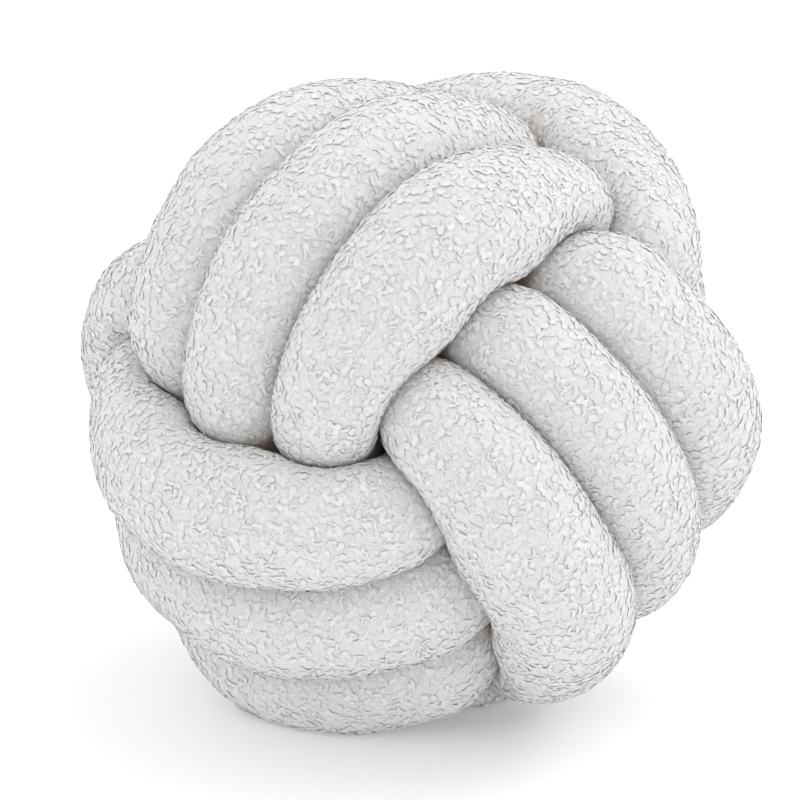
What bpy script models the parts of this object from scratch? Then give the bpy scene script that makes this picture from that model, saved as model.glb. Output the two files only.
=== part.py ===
"""Knot cushion: one long stuffed tube of teddy fabric, tied round itself as a monkey's fist.

Three bands of three turns cross at right angles and make a ball. Each band goes round the
outside of one of the others and passes beneath the third, so every face of the ball shows
three strands side by side, and their ends dive under the first strand of the next face.
The tube is one piece: from the last turn of a band it runs through the middle of the ball
to the first turn of the next, and its two ends are sewn together in there.
"""

import math

import bpy
import numpy as np
from mathutils import Euler

# Driving dimensions, in metres and degrees.
FACE_RADIUS = 0.1115        # middle of the ball to the middle of a strand on a face
TUCK_RADIUS = 0.0865        # the same where a band's centre strand passes beneath the next band
EDGE_TUCK_RADIUS = 0.080    # the same for the two strands beside it
SQUARENESS = 2.13           # exponent of each turn's outline: 2 is an ellipse, more is boxier
FACE_PITCH = 0.0485         # from strand to strand on a face
TUCK_PITCH = 0.037          # from strand to strand beneath the next band
TUBE_RADIUS = 0.0335        # the stuffed tube where nothing presses on it
CORE_RADIUS = 0.070         # of the space in the middle of the ball that the filling swells into
CORE_REACH = 0.060          # the most that the tube's cover stands off its middle line there
GAP = 0.0045                # left between two turns that press on each other
CORNER_SOFTNESS = 0.003     # how gently a pressed side rounds into a free side
FLAT_DEPTH = 0.009          # how much the ball's own weight flattens its underside
BALL_TURN = (-14.0, 34.5, -141.0)  # the tied ball is turned by this about X, then Y, then Z

TURNS = 3                   # turns in each band
TUCK_HALF_ANGLE = 0.50      # where a band's first and last turn leave for the middle, in radians
SHIFT_HALF_ANGLE = 0.55     # over this much each side the tube moves on to the next turn
SECTIONS = 400              # cross-sections along the whole tube
SIDES = 12                  # points round each cross-section
FINER = 4                   # the cover is worked out on a grid this many times finer
STIFFNESS = 2               # points of that grid each way over which the cloth evens its height
BAND_POINTS = 34            # points that a band's smooth curve goes through
ROUTE_STEP = 0.002          # spacing of the points that the curve is measured on
NEIGHBOURS = 1800           # points of the middle line that a cross-section is compared with
NEAREST_TURN = 0.012        # the tube's own middle line is a neighbour from this far away
FABRIC_COLOUR = (0.86, 0.85, 0.82, 1.0)  # off-white, linear

# A ball tied by hand is uneven. A row is for a place on one turn: the band, the turn, the angle
# from the middle of the face in degrees and how narrow the place is, as the power of a cosine
# bell. Then come how far the strand stands out of the ball there, how far it lies along the
# band's stacking axis from its even place, and how much fatter it is.
UNEVEN = (
    (0, -1, 0, 2, 0.001, -0.002, 0.000),
    (0, 0, 0, 2, 0.003, 0.000, 0.001),
    (0, 1, 0, 2, 0.000, 0.007, -0.001),
    (0, 1, 135, 6, 0.003, -0.004, 0.002),
    (0, 1, 180, 2, 0.003, -0.004, 0.001),
    (1, -1, 0, 2, -0.002, -0.004, 0.001),
    (1, 0, 0, 2, 0.001, -0.004, 0.002),
    (1, 1, 0, 2, 0.006, -0.003, -0.001),
    (1, 1, -45, 6, 0.003, 0.000, 0.001),
    (1, 1, 180, 2, 0.002, 0.000, 0.002),
    (2, -1, 0, 2, -0.002, 0.002, 0.000),
    (2, 0, 0, 2, 0.003, -0.002, 0.001),
    (2, 1, 0, 2, -0.001, -0.004, 0.000),
    (2, 1, -45, 6, -0.001, 0.006, 0.001),
)

# The tube's way through the middle of the ball, in the axes of the band that it leaves.
CORE_POINTS = ((0.015, -0.052, 0.040), (0.029, -0.021, 0.008), (-0.016, 0.003, -0.053))


def ease(value):
    """Smooth step from 0 to 1."""
    value = np.clip(value, 0.0, 1.0)
    return value * value * (3.0 - 2.0 * value)


def turn_number(angle):
    """-1, 0 or 1 for the three turns, easing to the next turn in the middle of the hidden side."""
    shifts = ((1.5 + 2.0 * turn) * math.pi for turn in range(TURNS - 1))
    return sum(ease(0.5 + 0.5 * (angle - shift) / SHIFT_HALF_ANGLE) for shift in shifts) - 1.0


def band_route(band):
    """A band's middle line in its own axes, long, short and stacking axis, with the radius.

    Each turn is a rounded oblong in polar form: its distance from the middle at an angle is
    (|cos / long|^n + |sin / short|^n)^(-1/n). The strands lie further apart on the faces,
    where cos^2 is 1, than where they are tucked beneath the next band.
    """
    first = -0.5 * math.pi + TUCK_HALF_ANGLE
    last = (2.0 * TURNS - 0.5) * math.pi - TUCK_HALF_ANGLE
    angle = np.linspace(first, last, BAND_POINTS)
    cos, sin = np.cos(angle), np.sin(angle)
    turn = turn_number(angle)
    short_radius = TUCK_RADIUS + (EDGE_TUCK_RADIUS - TUCK_RADIUS) * turn ** 2
    distance = (np.abs(cos / FACE_RADIUS) ** SQUARENESS
                + np.abs(sin / short_radius) ** SQUARENESS) ** (-1.0 / SQUARENESS)
    stacking = turn * (TUCK_PITCH + (FACE_PITCH - TUCK_PITCH) * cos ** 2)
    radius = np.full(BAND_POINTS, TUBE_RADIUS)
    for uneven_band, uneven_turn, place, narrowness, out, along, fatter in UNEVEN:
        if uneven_band != band:
            continue
        near = (0.5 + 0.5 * np.cos(angle - math.radians(place))) ** narrowness
        near = near * np.maximum(1.0 - np.abs(turn - uneven_turn), 0.0)
        distance = distance * (1.0 + near * out / FACE_RADIUS)
        stacking = stacking + near * along
        radius = radius + near * fatter
    return np.stack([distance * cos, distance * sin, stacking, radius], axis=1)


def curve_through(points, step):
    """Points about a step apart on the smooth closed curve through the points (Catmull-Rom)."""
    before, after, beyond = (np.roll(points, shift, axis=0) for shift in (1, -1, -2))
    spans = np.linalg.norm(after - points, axis=1)
    pieces = []
    for a, b, c, d, span in zip(before, points, after, beyond, spans):
        u = np.linspace(0.0, 1.0, max(2, round(span / step)), endpoint=False)[:, None]
        pieces.append(0.5 * (2.0 * b + (c - a) * u + (2.0 * a - 5.0 * b + 4.0 * c - d) * u ** 2
                             + (3.0 * b - a - 3.0 * c + d) * u ** 3))
    return np.concatenate(pieces)


def tube_route(count):
    """The tube's middle line and radius at evenly spaced points, and its whole length.

    Each band is followed by its link through the core. The next band has the same shape with
    X, Y and Z changed round, so the third link leads back to the first band.
    """
    link = np.column_stack([CORE_POINTS, np.full(len(CORE_POINTS), TUBE_RADIUS)])
    pieces = []
    for band in range(3):
        for piece in (band_route(band), link):
            pieces.append(np.column_stack([np.roll(piece[:, :3], band, axis=1), piece[:, 3]]))
    line = curve_through(np.concatenate(pieces), ROUTE_STEP)
    closed = np.concatenate([line, line[:1]])
    steps = np.linalg.norm(np.diff(closed[:, :3], axis=0), axis=1)
    along = np.concatenate([[0.0], np.cumsum(steps)])
    wanted = np.arange(count) * along[-1] / count
    route = np.stack([np.interp(wanted, along, column) for column in closed.T], axis=1)
    return route[:, :3], route[:, 3], along[-1]


def section_axes(route):
    """At each cross-section, the direction away from the middle of the ball, and across it."""
    along = np.roll(route, -1, axis=0) - np.roll(route, 1, axis=0)
    along /= np.linalg.norm(along, axis=1, keepdims=True)
    outward = route - np.sum(route * along, axis=1, keepdims=True) * along
    outward /= np.linalg.norm(outward, axis=1, keepdims=True)
    return outward, np.cross(along, outward)


def smooth_least(first, second, softness):
    """The smaller of two lengths, rounded where they are about equal, and never over either."""
    share = np.clip(0.5 + 0.5 * (second - first) / softness, 0.0, 1.0)
    return second + (first - second) * share - softness * share * (1.0 - share)


def reach(centre, radius, directions, neighbours):
    """How far the cover stands from the tube's middle line in each direction.

    Where nothing presses on it this is the tube's radius or, if it is more, the way across
    the core, which the filling swells to fill. Turns that press on each other each stop at the
    plane midway between them: for a neighbour at offset d that plane is |d|^2 / (2 d.e) away
    in the direction e.
    """
    offsets = neighbours - centre
    offsets = offsets[np.linalg.norm(offsets, axis=1) > NEAREST_TURN]
    towards = np.maximum(directions @ offsets.T, 1e-6)
    midway = (np.sum(offsets ** 2, axis=1) / (2.0 * towards)).min(axis=1) - 0.5 * GAP
    inward = -directions @ centre
    under_root = inward ** 2 + CORE_RADIUS ** 2 - centre @ centre
    core_exit = np.where(under_root > 0.0, inward + np.sqrt(np.maximum(under_root, 0.0)), 0.0)
    free = np.maximum(radius, np.minimum(core_exit, CORE_REACH))
    return smooth_least(free, midway, CORNER_SOFTNESS)


def average_round(lengths, section_count, side_count):
    """Each length averaged over the patch of cover that reaches the counts away on all sides."""
    for axis, count in ((0, section_count), (1, side_count)):
        shifted = [np.roll(lengths, shift, axis=axis) for shift in range(-count, count + 1)]
        lengths = sum(shifted) / len(shifted)
    return lengths


def tube_points():
    """The points of the whole cover, ring by ring, before the ball is turned and set down.

    The reach is worked out on a finer grid than the mesh. Stuffed cloth is too stiff to follow
    a narrow corner between its neighbours, so no length is over the average of the cover
    round it.
    """
    route, radii, _ = tube_route(SECTIONS * FINER)
    neighbours, _, _ = tube_route(NEIGHBOURS)
    outward, across = section_axes(route)
    angle = 2.0 * math.pi * np.arange(SIDES * FINER) / (SIDES * FINER)
    directions = (np.cos(angle)[None, :, None] * outward[:, None]
                  + np.sin(angle)[None, :, None] * across[:, None])
    lengths = np.array([reach(centre, radius, around, neighbours)
                        for centre, radius, around in zip(route, radii, directions)])
    lengths = np.minimum(lengths, average_round(lengths, STIFFNESS, STIFFNESS))
    rings = slice(None, None, FINER)
    points = route[rings, None] + directions[rings, rings] * lengths[rings, rings, None]
    return points.reshape(-1, 3)


def set_down(points):
    """Turns the ball as it lies, flattens its underside and stands it on z = 0, centred."""
    turn = Euler([math.radians(angle) for angle in BALL_TURN], "XYZ").to_matrix()
    points = points @ np.array(turn).T
    points[:, 2] -= points[:, 2].min() + FLAT_DEPTH
    points[:, 2] = np.maximum(points[:, 2], 0.0)
    points[:, :2] -= 0.5 * (points[:, :2].min(axis=0) + points[:, :2].max(axis=0))
    return points


def ring_faces():
    """Four-sided faces from each ring to the next, the last ring to the first, facing out."""
    ring, side = np.meshgrid(np.arange(SECTIONS), np.arange(SIDES), indexing="ij")
    next_ring, next_side = (ring + 1) % SECTIONS, (side + 1) % SIDES
    corners = [ring * SIDES + side, ring * SIDES + next_side,
               next_ring * SIDES + next_side, next_ring * SIDES + side]
    return np.stack(corners, axis=-1).reshape(-1, 4)


def teddy_fabric():
    """Off-white polyester pile: matt, with a soft sheen on its curls."""
    material = bpy.data.materials.new("teddy fabric")
    material.use_nodes = True
    shader = material.node_tree.nodes["Principled BSDF"]
    shader.inputs["Base Color"].default_value = FABRIC_COLOUR
    shader.inputs["Roughness"].default_value = 0.9
    shader.inputs["Metallic"].default_value = 0.0
    shader.inputs["Sheen Weight"].default_value = 0.4
    return material


def knot_tube():
    """The stuffed tube as one closed solid."""
    mesh = bpy.data.meshes.new("knot_tube")
    mesh.from_pydata(set_down(tube_points()).tolist(), [], ring_faces().tolist())
    mesh.materials.append(teddy_fabric())
    mesh.shade_smooth()
    tube = bpy.data.objects.new("knot_tube", mesh)
    bpy.context.scene.collection.objects.link(tube)
    return tube


for old in list(bpy.data.objects):
    bpy.data.objects.remove(old)
knot_tube()
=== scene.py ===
"""Knot cushion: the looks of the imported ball, a stuffed tube of white teddy fabric tied as a
monkey's fist. Metres, +Z up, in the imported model's own frame.
"""

import math
import bpy
import numpy as np
from mathutils import Euler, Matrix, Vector


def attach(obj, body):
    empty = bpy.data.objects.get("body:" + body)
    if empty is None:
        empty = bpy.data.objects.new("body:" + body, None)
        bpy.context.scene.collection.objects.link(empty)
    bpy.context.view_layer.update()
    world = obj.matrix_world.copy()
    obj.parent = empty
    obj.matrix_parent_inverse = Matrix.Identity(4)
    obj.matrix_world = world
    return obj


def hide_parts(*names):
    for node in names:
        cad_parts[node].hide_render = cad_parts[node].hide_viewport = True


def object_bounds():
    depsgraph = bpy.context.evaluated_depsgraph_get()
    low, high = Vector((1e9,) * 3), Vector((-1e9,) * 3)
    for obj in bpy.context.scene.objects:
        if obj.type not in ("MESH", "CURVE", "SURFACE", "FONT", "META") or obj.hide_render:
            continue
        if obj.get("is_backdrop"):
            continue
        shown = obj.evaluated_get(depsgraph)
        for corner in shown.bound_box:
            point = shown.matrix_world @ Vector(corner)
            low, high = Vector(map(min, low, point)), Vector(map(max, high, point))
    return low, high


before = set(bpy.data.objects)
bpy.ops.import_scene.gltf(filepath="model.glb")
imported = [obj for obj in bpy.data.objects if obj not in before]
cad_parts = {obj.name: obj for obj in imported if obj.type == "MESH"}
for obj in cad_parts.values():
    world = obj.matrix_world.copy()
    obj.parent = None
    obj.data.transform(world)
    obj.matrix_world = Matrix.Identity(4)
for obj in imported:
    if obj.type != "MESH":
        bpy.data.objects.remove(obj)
cad_low, cad_high = (np.array(corner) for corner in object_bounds())

# ---------------------------------------------------------------------------------------
# The knotted tube. One strip of teddy fabric is sewn into a tube about 6 m long, filled
# with polyester fibre and tied round itself: three bands of three turns cross at right
# angles, and the two ends are sewn together in the middle of the ball.

FACE_RADIUS = 0.1115        # middle of the ball to the middle of a strand on a face
TUCK_RADIUS = 0.0865        # the same where a band's centre strand passes beneath the next band
EDGE_TUCK_RADIUS = 0.080    # the same for the two strands beside it
SQUARENESS = 2.13           # exponent of each turn's outline: 2 is an ellipse, more is boxier
FACE_PITCH = 0.0485         # from strand to strand on a face
TUCK_PITCH = 0.037          # from strand to strand beneath the next band
TUBE_RADIUS = 0.0335        # the stuffed tube, to the tips of most of its pile
PILE_DEPTH = 0.0013         # the backing cloth lies this far beneath those tips
CORE_RADIUS = 0.070         # of the space in the middle of the ball that the filling swells into
CORE_REACH = 0.060          # the most that the cover stands off its middle line there
PRESSED_GAP = 0.0008        # left between two turns that press on each other
CORNER_SOFTNESS = 0.004     # how gently a pressed side rounds into a free side
NEAREST_TURN = 0.012        # the tube's own middle line presses on it from this far away
BALL_TURN = (-14.0, 34.5, -141.0)  # degrees about X, then Y, then Z: how the tied ball lies
TUCK_HALF_ANGLE = 0.50      # radians: where a band's ends leave for the middle
SHIFT_HALF_ANGLE = 0.55     # radians: the tube moves on to the next turn over this each side
BAND_POINTS = 34            # points that a band's smooth curve goes through
CURVE_STEPS = 24            # steps of the curve from each of these points to the next
NEIGHBOURS = 1800           # points of the middle line that a cross-section is compared with
STIFFNESS = 2               # points each way over which the cloth evens its height

# Two tables that weren't set by hand. UNEVEN is the result of a fitting program, rounded to
# 1 mm: band, turn, degrees from the face, narrowness; how far out, along, how much fatter.
# CORE_POINTS, the way through the middle, is the result of a random search for a free route.
# FACE_RADIUS to TUBE_RADIUS above, and BALL_TURN, start from the same fit as UNEVEN.
UNEVEN = (
    (0, -1, 0, 2, 0.001, -0.002, 0.000),
    (0, 0, 0, 2, 0.003, 0.000, 0.001),
    (0, 1, 0, 2, 0.000, 0.007, -0.001),
    (0, 1, 135, 6, 0.003, -0.004, 0.002),
    (0, 1, 180, 2, 0.003, -0.004, 0.001),
    (1, -1, 0, 2, -0.002, -0.004, 0.001),
    (1, 0, 0, 2, 0.001, -0.004, 0.002),
    (1, 1, 0, 2, 0.006, -0.003, -0.001),
    (1, 1, -45, 6, 0.003, 0.000, 0.001),
    (1, 1, 180, 2, 0.002, 0.000, 0.002),
    (2, -1, 0, 2, -0.002, 0.002, 0.000),
    (2, 0, 0, 2, 0.003, -0.002, 0.001),
    (2, 1, 0, 2, -0.001, -0.004, 0.000),
    (2, 1, -45, 6, -0.001, 0.006, 0.001),
)
CORE_POINTS = ((0.015, -0.052, 0.040), (0.029, -0.021, 0.008), (-0.016, 0.003, -0.053))

RINGS = 1100                # rings of points along the tube, about 6 mm apart
SIDES = 44                  # points round each ring, about 5 mm apart


def band_route(band):
    """A band's middle line in its own axes, long, short and stacking axis, with the radius.

    Each turn is a rounded oblong: its distance from the middle at an angle is
    (|cos / long|^n + |sin / short|^n)^(-1/n). The turn number eases from -1 to 1 on the
    hidden side, and times the pitch it gives the place along the stacking axis. An uneven
    place is a cosine bell round its angle, raised to its narrowness.
    """
    angle = np.linspace(TUCK_HALF_ANGLE - 0.5 * math.pi, 5.5 * math.pi - TUCK_HALF_ANGLE,
                        BAND_POINTS)
    cos, sin = np.cos(angle), np.sin(angle)
    steps = [np.clip(0.5 + 0.5 * (angle - shift * math.pi) / SHIFT_HALF_ANGLE, 0.0, 1.0)
             for shift in (1.5, 3.5)]
    turn = sum(step * step * (3.0 - 2.0 * step) for step in steps) - 1.0
    short = TUCK_RADIUS + (EDGE_TUCK_RADIUS - TUCK_RADIUS) * turn ** 2
    distance = (np.abs(cos / FACE_RADIUS) ** SQUARENESS
                + np.abs(sin / short) ** SQUARENESS) ** (-1.0 / SQUARENESS)
    stacking = turn * (TUCK_PITCH + (FACE_PITCH - TUCK_PITCH) * cos ** 2)
    radius = np.full(len(angle), TUBE_RADIUS - PILE_DEPTH)
    for uneven_band, uneven_turn, place, narrowness, out, along, fatter in UNEVEN:
        if uneven_band == band:
            near = (0.5 + 0.5 * np.cos(angle - math.radians(place))) ** narrowness
            near = near * np.maximum(1.0 - np.abs(turn - uneven_turn), 0.0)
            distance = distance * (1.0 + near * out / FACE_RADIUS)
            stacking = stacking + near * along
            radius = radius + near * fatter
    return np.stack([distance * cos, distance * sin, stacking, radius], axis=1)


def tube_route(count):
    """Evenly spaced points of the tube's closed middle line, the radius there, and its length.

    The three bands are the same curve with X, Y and Z changed round, and each is followed by
    its link through the middle. A Catmull-Rom curve goes through all the points.
    """
    link = np.column_stack([CORE_POINTS, np.full(len(CORE_POINTS), TUBE_RADIUS - PILE_DEPTH)])
    points = np.concatenate([
        np.column_stack([np.roll(piece[:, :3], band, axis=1), piece[:, 3]])
        for band in range(3) for piece in (band_route(band), link)])
    a, b, c, d = (np.roll(points, shift, axis=0)[:, None] for shift in (1, 0, -1, -2))
    u = np.linspace(0.0, 1.0, CURVE_STEPS, endpoint=False)[None, :, None]
    line = 0.5 * (2.0 * b + (c - a) * u + (2.0 * a - 5.0 * b + 4.0 * c - d) * u ** 2
                  + (3.0 * b - a - 3.0 * c + d) * u ** 3).reshape(-1, 4)
    closed = np.concatenate([line, line[:1]])
    steps = np.linalg.norm(np.diff(closed[:, :3], axis=0), axis=1)
    along = np.concatenate([[0.0], np.cumsum(steps)])
    wanted = np.arange(count) * along[-1] / count
    route = np.stack([np.interp(wanted, along, column) for column in closed.T], axis=1)
    return route[:, :3], route[:, 3], along[-1]


def smooth_least(first, second, softness):
    """The smaller of two lengths, rounded where they are about equal, and never over either."""
    share = np.clip(0.5 + 0.5 * (second - first) / softness, 0.0, 1.0)
    return second + (first - second) * share - softness * share * (1.0 - share)


def average_round(values, count):
    """Each value averaged over the patch of cover that reaches the count away on all sides."""
    for axis in (0, 1):
        values = sum(np.roll(values, shift, axis=axis)
                     for shift in range(-count, count + 1)) / (2 * count + 1)
    return values


def unit(vectors):
    """Vectors scaled to length 1."""
    return vectors / np.maximum(np.linalg.norm(vectors, axis=-1, keepdims=True), 1e-12)


def cover_grid():
    """The tube's backing cloth as a grid of points, ring by ring, and the tube's length.

    A point stands off the middle line by the tube's radius or, if it is more, the way across
    the core. Where turns press on each other each stops at the plane midway between them:
    for a neighbour at offset d that plane is |d|^2 / (2 d.e) away in the direction e. No
    length is over the average round it, because stuffed cloth can't fill a narrow corner.
    Slow waves along and round the tube make its filling lumpy.
    """
    route, radii, length = tube_route(RINGS)
    neighbours = tube_route(NEIGHBOURS)[0].astype(np.float32)
    along = unit(np.roll(route, -1, axis=0) - np.roll(route, 1, axis=0))
    outward = unit(route - np.sum(route * along, axis=1, keepdims=True) * along)
    across = np.cross(along, outward)
    angle = 2.0 * math.pi * np.arange(SIDES) / SIDES
    directions = (np.cos(angle)[None, :, None] * outward[:, None]
                  + np.sin(angle)[None, :, None] * across[:, None])
    midway = np.empty((RINGS, SIDES))
    for ring, centre in enumerate(route):
        offsets = neighbours - centre.astype(np.float32)
        offsets = offsets[np.linalg.norm(offsets, axis=1) > NEAREST_TURN]
        towards = np.maximum(directions[ring].astype(np.float32) @ offsets.T, 1e-6)
        midway[ring] = (np.sum(offsets ** 2, axis=1) / (2.0 * towards)).min(axis=1)
    midway -= 0.5 * PRESSED_GAP
    inward = -np.sum(directions * route[:, None], axis=2)
    under_root = inward ** 2 + CORE_RADIUS ** 2 - np.sum(route ** 2, axis=1)[:, None]
    core_exit = np.where(under_root > 0.0, inward + np.sqrt(np.maximum(under_root, 0.0)), 0.0)
    phase = 2.0 * math.pi * np.arange(RINGS)[:, None] / RINGS
    lumps = (0.012 * np.sin(97 * phase + 2.0 * np.sin(angle)[None, :])
             + 0.010 * np.sin(163 * phase + 1.0 + 2.0 * np.cos(angle + 1.0)[None, :])
             + 0.006 * np.sin(231 * phase + 3.0 * np.sin(angle + 2.0)[None, :]))
    free = np.maximum(radii[:, None] * (1.0 + lumps), np.minimum(core_exit, CORE_REACH))
    lengths = smooth_least(free, midway, CORNER_SOFTNESS)
    lengths = np.minimum(lengths, average_round(lengths, STIFFNESS))
    return route[:, None] + directions * lengths[:, :, None], length


def new_mesh(name, points, faces):
    """A smooth mesh object from an array of points and one of faces with as many corners each."""
    mesh = bpy.data.meshes.new(name)
    mesh.vertices.add(len(points))
    mesh.vertices.foreach_set("co", points.astype(np.float32).ravel())
    corners = faces.shape[1]
    mesh.loops.add(faces.size)
    mesh.loops.foreach_set("vertex_index", faces.astype(np.int32).ravel())
    mesh.polygons.add(len(faces))
    mesh.polygons.foreach_set("loop_start", np.arange(0, faces.size, corners, dtype=np.int32))
    mesh.polygons.foreach_set("loop_total", np.full(len(faces), corners, dtype=np.int32))
    mesh.update(calc_edges=True)
    mesh.validate()
    mesh.shade_smooth()
    obj = bpy.data.objects.new(name, mesh)
    bpy.context.scene.collection.objects.link(obj)
    return obj


cover, tube_length = cover_grid()
cover = cover @ np.array(Euler([math.radians(angle) for angle in BALL_TURN], "XYZ").to_matrix()).T
low, high = cover.min(axis=(0, 1)), cover.max(axis=(0, 1))
ball_middle = 0.5 * (cad_low + cad_high) - 0.5 * (low + high)
ball_middle[2] = cad_high[2] - PILE_DEPTH - high[2]
cover = cover + ball_middle
cover[:, :, 2] = np.maximum(cover[:, :, 2], cad_low[2] + PILE_DEPTH)

ring, side = np.meshgrid(np.arange(RINGS), np.arange(SIDES), indexing="ij")
next_ring, next_side = (ring + 1) % RINGS, (side + 1) % SIDES
cover_faces = np.stack([ring * SIDES + side, ring * SIDES + next_side,
                        next_ring * SIDES + next_side, next_ring * SIDES + side], axis=-1)
backing = new_mesh("tube_cover", cover.reshape(-1, 3), cover_faces.reshape(-1, 4))

SKIN_ROWS = 72              # of the grid of directions that the ball's outer skin is kept on
SKIN_COLUMNS = 144


def seen_from_middle(points):
    """Each point's row and column on the grid of directions, and its distance from the middle."""
    offset = points - ball_middle
    distance = np.linalg.norm(offset, axis=-1)
    rows = ((offset[..., 2] / distance * 0.5 + 0.5) * (SKIN_ROWS - 1)).astype(int)
    columns = (np.arctan2(offset[..., 1], offset[..., 0]) / (2.0 * math.pi) + 0.5) * SKIN_COLUMNS
    return rows, columns.astype(int) % SKIN_COLUMNS, distance


rows, columns, distance = seen_from_middle(cover.reshape(-1, 3))
skin = np.zeros((SKIN_ROWS, SKIN_COLUMNS))
np.maximum.at(skin, (rows, columns), distance)


def skin_depth(points):
    """How far each point lies beneath the ball's outer skin, seen from its middle.

    The skin is the farthest cover in each cell of the grid of directions, so a point in a
    crease between two strands lies deep.
    """
    rows, columns, distance = seen_from_middle(points)
    return skin[rows, columns] - distance


def set_attribute(obj, name, values):
    """Stores a value on each of an object's vertices, for its material to read."""
    layer = obj.data.attributes.new(name, "FLOAT", "POINT")
    layer.data.foreach_set("value", values.astype(np.float32).ravel())


set_attribute(backing, "depth", skin_depth(cover))
set_attribute(backing, "height", np.zeros(RINGS * SIDES))


def linear(hex_colour):
    """A linear RGBA colour from an sRGB hex string."""
    values = [int(hex_colour[i:i + 2], 16) / 255.0 for i in (1, 3, 5)]
    return [v / 12.92 if v <= 0.04045 else ((v + 0.055) / 1.055) ** 2.4 for v in values] + [1.0]


def add_node(tree, kind, settings=None, inputs=None):
    """Adds a node with its settings, and links or values for its inputs."""
    node = tree.nodes.new(kind)
    for name, value in (settings or {}).items():
        setattr(node, name, value)
    for name, value in (inputs or {}).items():
        if isinstance(value, bpy.types.NodeSocket):
            tree.links.new(value, node.inputs[name])
        else:
            node.inputs[name].default_value = value
    return node


def teddy_pile():
    """Off-white polyester teddy pile: fine crimped fibre, matt, with light scattered in it.

    Nubs are cells as far apart as the curls, so the backing shows as the lower layer of the
    pile. The roots of the pile, the edges of the nubs and the creases are painted a warmer,
    darker grey than its tips: painted shade.
    """
    material = bpy.data.materials.new("teddy pile")
    material.use_nodes = True
    tree = material.node_tree
    tree.nodes.clear()
    place = add_node(tree, "ShaderNodeTexCoord")
    wander = add_node(tree, "ShaderNodeTexNoise", {"noise_dimensions": "3D"},
                      {"Vector": place.outputs["Object"], "Scale": 330.0, "Detail": 1.0})
    shift = add_node(tree, "ShaderNodeVectorMath", {"operation": "MULTIPLY_ADD"},
                     {0: wander.outputs["Color"], 1: (0.003, 0.003, 0.003),
                      2: place.outputs["Object"]})
    nubs = add_node(tree, "ShaderNodeTexVoronoi", {"feature": "F1"},
                    {"Vector": shift.outputs["Vector"], "Scale": 290.0})
    fibres = add_node(tree, "ShaderNodeTexNoise", None,
                      {"Vector": place.outputs["Object"], "Scale": 800.0, "Detail": 3.0,
                       "Distortion": 2.0})
    relief = add_node(tree, "ShaderNodeMath", {"operation": "MULTIPLY_ADD"},
                      {0: nubs.outputs["Distance"], 1: -0.8, 2: fibres.outputs["Fac"]})
    bump = add_node(tree, "ShaderNodeBump", None,
                    {"Height": relief.outputs["Value"], "Distance": 0.0009, "Strength": 0.6})
    # Painted shade: the pile is painted darker and warmer towards its roots and the edges of the
    # nubs, where shade falls between the curls.
    height = add_node(tree, "ShaderNodeAttribute", {"attribute_name": "height"})
    nub_height = add_node(tree, "ShaderNodeMath", {"operation": "MULTIPLY_ADD"},
                          {0: nubs.outputs["Distance"], 1: -0.0012, 2: height.outputs["Fac"]})
    painted_root_shade_mix = add_node(tree, "ShaderNodeMapRange", {"interpolation_type": "SMOOTHSTEP"},
                     {"Value": nub_height.outputs["Value"], "From Min": -0.0008,
                      "From Max": 0.0002})
    patches = add_node(tree, "ShaderNodeTexNoise", None,
                       {"Vector": place.outputs["Object"], "Scale": 380.0, "Detail": 2.0})
    patchy = add_node(tree, "ShaderNodeMapRange", {"interpolation_type": "SMOOTHSTEP"},
                      {"Value": patches.outputs["Fac"], "From Min": 0.35, "From Max": 0.65})
    tips = add_node(tree, "ShaderNodeMix", {"data_type": "RGBA"},
                    {"Factor": patchy.outputs["Result"], "A": linear("#EFEFF0"),
                     "B": linear("#E6E5E5")})
    tone_with_painted_shade = add_node(tree, "ShaderNodeMix", {"data_type": "RGBA"},
                    {"Factor": painted_root_shade_mix.outputs["Result"], "A": linear("#E3E1DF"),
                     "B": tips.outputs["Result"]})
    # Painted shade: creases between strands are painted warm tan, more strongly the deeper they
    # lie beneath the skin.
    depth_of = add_node(tree, "ShaderNodeAttribute", {"attribute_name": "depth"})
    painted_crease_shade = add_node(tree, "ShaderNodeMapRange", {"interpolation_type": "SMOOTHSTEP"},
                       {"Value": depth_of.outputs["Fac"], "From Min": 0.007, "From Max": 0.022})
    colour = add_node(tree, "ShaderNodeMix", {"data_type": "RGBA"},
                      {"Factor": painted_crease_shade.outputs["Result"], "A": tone_with_painted_shade.outputs["Result"],
                       "B": linear("#A8967E")})
    shader = add_node(tree, "ShaderNodeBsdfPrincipled", None,
                      {"Base Color": colour.outputs["Result"], "Roughness": 0.9,
                       "Sheen Weight": 1.0, "Sheen Roughness": 0.5,
                       "Specular IOR Level": 0.2, "Normal": bump.outputs["Normal"]})
    add_node(tree, "ShaderNodeOutputMaterial", None, {"Surface": shader.outputs["BSDF"]})
    return material


pile = teddy_pile()
backing.data.materials.append(pile)
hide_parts("knot_tube")
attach(backing, "root")

# ---------------------------------------------------------------------------------------
# The pile. Teddy fabric's fibres are crimped and tumbled into curls a few millimetres
# across, each lying on the backing in its own direction and half hidden by the next.

CURL_PITCH = 0.0033         # from curl to curl on a strand's outer side
CURL_JITTER = 0.35          # of that pitch, the most that a curl lies off its even place
OUTER_STRETCH = 1.3         # the outer side of a turn is this much longer than its middle line
NUB_SHARE = 0.7             # of the curls that are fat nubs; the others are fine open loops
NUB_RADIUS = 0.0011         # of a nub's loop
NUB_THICKNESS = 0.0015      # from the middle of its lock of fibres to the lock's surface
LOOP_RADIUS = 0.0016
LOOP_THICKNESS = 0.0007
LOOP_LIFT = 0.0005          # the fine loops lie on the nubs
SIDE_SLOPE = 0.5            # of the curls' shaded sides against the cloth
CURL_STATIONS = (0.17, 0.39, 0.61, 0.83)  # rings along the lock, from one tip to the other
CURL_SIDES = 3
FLATNESS = 0.2              # the curls stand only this share of their height off the cloth
CLUMP_LENGTH = 0.009        # curls stand higher and lower together over about this length
CLUMP_HEIGHT = 0.0004
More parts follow.
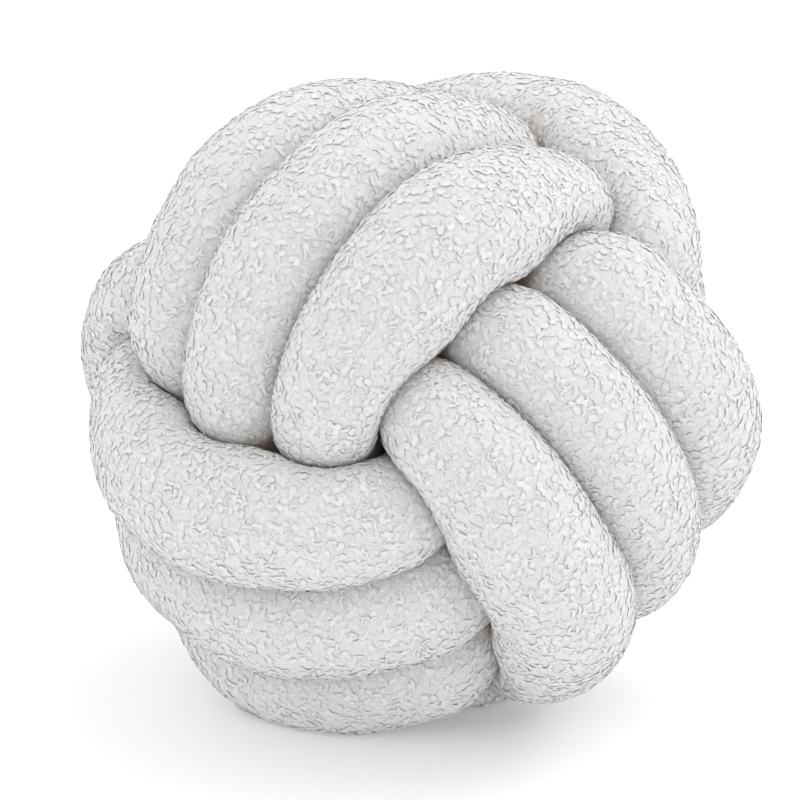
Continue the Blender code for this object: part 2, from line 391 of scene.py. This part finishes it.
CLUMP_WAVES = 14            # sine waves that the clumps are made of
REST_CLEARANCE = 0.0002     # between the lowest curls and the surface that the ball rests on
LOOKS = 48                  # directions from which it is tested whether a curl can be seen
LOOK_CELL = 0.004           # of the grid that each of these looks sees the cover on
LOOK_WIDTH = 0.36           # of that grid, wider than the ball
SEEN_DEPTH = 0.004          # a curl this far behind the nearest cover still shows beside it
PIECE_TRIANGLES = 190000    # the most in one mesh of curls
random = np.random.default_rng(7)


def on_cover(grid, ring_place, side_place):
    """Values of the closed grid at fractional ring and side places, by bilinear interpolation."""
    first_ring, first_side = np.floor(ring_place).astype(int), np.floor(side_place).astype(int)
    u, v = (ring_place - first_ring)[:, None], (side_place - first_side)[:, None]
    ring0, ring1 = first_ring % RINGS, (first_ring + 1) % RINGS
    side0, side1 = first_side % SIDES, (first_side + 1) % SIDES
    return ((1 - u) * ((1 - v) * grid[ring0, side0] + v * grid[ring0, side1])
            + u * ((1 - v) * grid[ring1, side0] + v * grid[ring1, side1]))


def clumps(points):
    """A smooth random field with a spread of 1: sine waves of one length in many directions."""
    waves = unit(random.normal(size=(CLUMP_WAVES, 3))) * 2.0 * math.pi / CLUMP_LENGTH
    phases = random.uniform(0.0, 2.0 * math.pi, CLUMP_WAVES)
    return np.sin(points @ waves.T + phases).sum(axis=1) / math.sqrt(0.5 * CLUMP_WAVES)


def seen(points):
    """Whether each point can be seen from outside the ball, from any of the looks.

    The looks are spread evenly by the golden angle. Each sees the cover on a grid across its
    direction, and a point shows if it is hardly farther than the nearest cover in its cell.
    """
    number = np.arange(LOOKS) + 0.5
    up = 1.0 - 2.0 * number / LOOKS
    across = np.sqrt(1.0 - up ** 2)
    turned = number * math.pi * (3.0 - math.sqrt(5.0))
    found = np.zeros(len(points), dtype=bool)
    wall = on_cover(cover, *(grid.ravel() for grid in np.meshgrid(
        np.arange(0.0, RINGS, 0.5), np.arange(0.0, SIDES, 0.5), indexing="ij")))
    for look in np.stack([across * np.cos(turned), across * np.sin(turned), up], axis=1):
        right = unit(np.cross(look, (0.0, 0.0, 1.0)))
        axes = np.stack([right, np.cross(right, look), look])
        wall_seen, points_seen = (wall - ball_middle) @ axes.T, (points - ball_middle) @ axes.T
        cells = int(LOOK_WIDTH / LOOK_CELL)
        nearest = np.full((cells, cells), -1.0)
        cell = (wall_seen[:, :2] / LOOK_CELL + 0.5 * cells).astype(int)
        np.maximum.at(nearest, (cell[:, 0], cell[:, 1]), wall_seen[:, 2])
        cell = (points_seen[:, :2] / LOOK_CELL + 0.5 * cells).astype(int)
        found |= points_seen[:, 2] > nearest[cell[:, 0], cell[:, 1]] - SEEN_DEPTH
    return found


rows_of_curls = round(tube_length * OUTER_STRETCH / CURL_PITCH)
curls_round = round(2.0 * math.pi * TUBE_RADIUS / CURL_PITCH)
row, column = np.meshgrid(np.arange(rows_of_curls), np.arange(curls_round), indexing="ij")
jitter = random.uniform(-CURL_JITTER, CURL_JITTER, (2,) + row.shape)
ring_place = ((row + jitter[0]) * RINGS / rows_of_curls).ravel()
side_place = ((column + 0.5 * (row % 2) + jitter[1]) * SIDES / curls_round).ravel()
along_cover = np.roll(cover, -1, axis=0) - np.roll(cover, 1, axis=0)
round_cover = np.roll(cover, -1, axis=1) - np.roll(cover, 1, axis=1)
normals = unit(np.cross(round_cover, along_cover))
root = on_cover(cover, ring_place, side_place)
normal = unit(on_cover(normals, ring_place, side_place))
root_depth = skin_depth(root)
shown = seen(root)
root, normal, root_depth = root[shown], normal[shown], root_depth[shown]
curl_count = len(root)
clump = clumps(root)


def curl_points():
    """Every curl's points and their normals: a lock of fibres carried round a leaning loop.

    Its middle line is a circle through its sweep angle, winding in a little as it goes. The
    circle's second axis leans from the cloth towards the normal by the tilt, so the curl
    stands up in the middle and both its tips are sunk. A station's ring is a circle in the
    plane of the loop's radius and axis, thinner towards the tips. Heights off the cloth are
    then scaled by the flatness. A normal is the cloth's own, plus the part of the ring's
    outward direction that lies along the cloth times the side slope.
    """
    nub = random.uniform(0.0, 1.0, curl_count) < NUB_SHARE
    size = random.uniform(0.8, 1.3, curl_count)
    loop = (np.where(nub, NUB_RADIUS, LOOP_RADIUS) * size)[:, None, None]
    thickness = (np.where(nub, NUB_THICKNESS, LOOP_THICKNESS) * size)[:, None, None]
    spread = random.uniform(0.0, 1.0, (2, curl_count))
    sweep = (np.where(nub, 0.9 + 0.5 * spread[0], 1.1 + 0.7 * spread[0]) * math.pi)[:, None, None]
    tilt = np.where(nub, 0.1 + 0.5 * spread[1], 0.3 + 0.9 * spread[1])[:, None]
    hand = random.choice([-1.0, 1.0], curl_count)[:, None]
    first = unit(np.cross(normal, random.normal(size=(curl_count, 3)))) * hand
    second = np.cross(normal, first)
    leaning = (second * np.cos(tilt) + normal * np.sin(tilt))[:, None]
    first = first[:, None]
    t = np.array((0.0,) + CURL_STATIONS + (1.0,))[None, :, None]
    turned = (t - 0.5) * sweep
    out = np.cos(turned) * leaning + np.sin(turned) * first
    lift = 0.5 * thickness[:, 0, 0] + np.where(nub, 0.0, LOOP_LIFT) + CLUMP_HEIGHT * clump
    middle = root[:, None] + loop * (1.15 - 0.3 * t) * out + (lift[:, None] * normal)[:, None]
    axis = np.cross(first, leaning)
    thick = thickness * np.sqrt(np.sin(math.pi * t[:, 1:-1]))
    angle = (math.pi * (0.5 + 2.0 * np.arange(CURL_SIDES) / CURL_SIDES))[None, None, :, None]
    ring_out = np.cos(angle) * out[:, 1:-1, None] + np.sin(angle) * axis[:, :, None]
    lock = (middle[:, 1:-1, None] + thick[:, :, None] * ring_out).reshape(curl_count, -1, 3)
    points = np.concatenate([middle[:, :1], lock, middle[:, -1:]], axis=1)
    cloth = normal[:, None]
    stand = np.sum((points - root[:, None]) * cloth, axis=2, keepdims=True)
    points = points + (FLATNESS - 1.0) * stand * cloth
    points[:, :, 2] = np.maximum(points[:, :, 2], cad_low[2] + REST_CLEARANCE)
    sideways = np.concatenate([0.0 * cloth, ring_out.reshape(curl_count, -1, 3), 0.0 * cloth],
                              axis=1)
    sideways = sideways - np.sum(sideways * cloth, axis=2, keepdims=True) * cloth
    return points, unit(cloth + SIDE_SLOPE * sideways)


def curl_faces():
    """One curl's triangles: a cap at its start, the sides from ring to ring, a cap at its end."""
    ring_count = len(CURL_STATIONS)
    last = ring_count * CURL_SIDES + 1
    faces = []
    for side in range(CURL_SIDES):
        after = (side + 1) % CURL_SIDES
        faces.append((0, 1 + after, 1 + side))
        faces.append((last, last - CURL_SIDES + side, last - CURL_SIDES + after))
        for ring in range(ring_count - 1):
            here, beside = 1 + ring * CURL_SIDES + side, 1 + ring * CURL_SIDES + after
            faces.append((here, beside, beside + CURL_SIDES))
            faces.append((here, beside + CURL_SIDES, here + CURL_SIDES))
    return np.array(faces)


locks, lock_normals = curl_points()
one_curl = curl_faces()
height = np.sum((locks - root[:, None]) * normal[:, None], axis=2)
corner = locks[:, one_curl] - root[:, None, None]
volume = np.sum(corner[:, :, 0] * np.cross(corner[:, :, 1], corner[:, :, 2]), axis=(1, 2))
groups = np.array_split(np.arange(curl_count),
                        math.ceil(curl_count * len(one_curl) / PIECE_TRIANGLES))
for number, group in enumerate(groups):
    faces = np.arange(len(group))[:, None, None] * locks.shape[1] + one_curl
    inside_out = volume[group] < 0.0
    faces[inside_out] = faces[inside_out][:, :, ::-1]
    curls = new_mesh(f"pile_curls_{number + 1}", locks[group].reshape(-1, 3),
                     faces.reshape(-1, 3))
    curls.data.normals_split_custom_set_from_vertices(lock_normals[group].reshape(-1, 3))
    set_attribute(curls, "depth", np.repeat(root_depth[group], locks.shape[1]))
    set_attribute(curls, "height", height[group])
    curls.data.materials.append(pile)
    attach(curls, "root")

# ---------------------------------------------------------------------------------------
# The floor, the light and the camera. The world lights the ball almost evenly, a little
# more from above and behind. A weak key comes from the upper right, and the white floor
# glows slightly so that the shadow on it stays faint.

FLOOR_SIZE = 8.0
half = 0.5 * FLOOR_SIZE
floor = new_mesh("floor", np.array([(-half, -half, 0.0), (half, -half, 0.0), (half, half, 0.0),
                                    (-half, half, 0.0)]), np.array([(0, 1, 2, 3)]))
paper = bpy.data.materials.new("white paper")
paper.use_nodes = True
paper_shader = paper.node_tree.nodes["Principled BSDF"]
paper_shader.inputs["Base Color"].default_value = linear("#F4F4F4")
paper_shader.inputs["Roughness"].default_value = 0.9
paper_shader.inputs["Emission Color"].default_value = (1.0, 1.0, 1.0, 1.0)
paper_shader.inputs["Emission Strength"].default_value = 0.12
floor.data.materials.append(paper)
floor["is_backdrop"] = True

world = bpy.data.worlds.new("studio")
world.use_nodes = True
direction = add_node(world.node_tree, "ShaderNodeTexCoord")
slope = add_node(world.node_tree, "ShaderNodeVectorMath", {"operation": "DOT_PRODUCT"},
                 {0: direction.outputs["Generated"], 1: (0.0, 0.10, 0.25)})
brightness = add_node(world.node_tree, "ShaderNodeMath", {"operation": "ADD"},
                      {0: slope.outputs["Value"], 1: 0.98})
backdrop = world.node_tree.nodes["Background"]
backdrop.inputs["Color"].default_value = (1.0, 1.0, 1.0, 1.0)
world.node_tree.links.new(brightness.outputs["Value"], backdrop.inputs["Strength"])
bpy.context.scene.world = world


def soft_light(name, place, target, width, power):
    """A square area light that points at the target."""
    light = bpy.data.lights.new(name, "AREA")
    light.size = width
    light.energy = power
    obj = bpy.data.objects.new(name, light)
    obj.location = place
    obj.rotation_euler = (Vector(target) - Vector(place)).to_track_quat("-Z", "Y").to_euler()
    bpy.context.scene.collection.objects.link(obj)


middle = Vector(ball_middle)
soft_light("key", middle + Vector((1.1, 0.2, 1.2)), middle, 1.2, 6.0)

CAMERA_DISTANCE = 1.364     # from the middle of the ball
CAMERA_ELEVATION = math.radians(15.0)
CAMERA_LENS = 140.3         # millimetres, on a 36 mm wide picture
AIM_LEFT = 0.0062           # the aim is this far to the left of the ball's middle
AIM_DOWN = 0.0012           # and this far beneath it
back = Vector((0.0, -math.cos(CAMERA_ELEVATION), math.sin(CAMERA_ELEVATION)))
camera = bpy.data.objects.new("camera", bpy.data.cameras.new("camera"))
camera.data.lens = CAMERA_LENS
camera.data.sensor_width = 36.0
camera.location = middle + back * CAMERA_DISTANCE + Vector((-AIM_LEFT, 0.0, -AIM_DOWN))
camera.rotation_euler = (-back).to_track_quat("-Z", "Y").to_euler()
bpy.context.scene.collection.objects.link(camera)
bpy.context.scene.camera = camera
bpy.context.scene.cycles.diffuse_bounces = 10

view = bpy.context.scene.view_settings
view.view_transform = "Standard"
view.look = "None"
view.exposure = 0.0

bpy.context.view_layer.update()
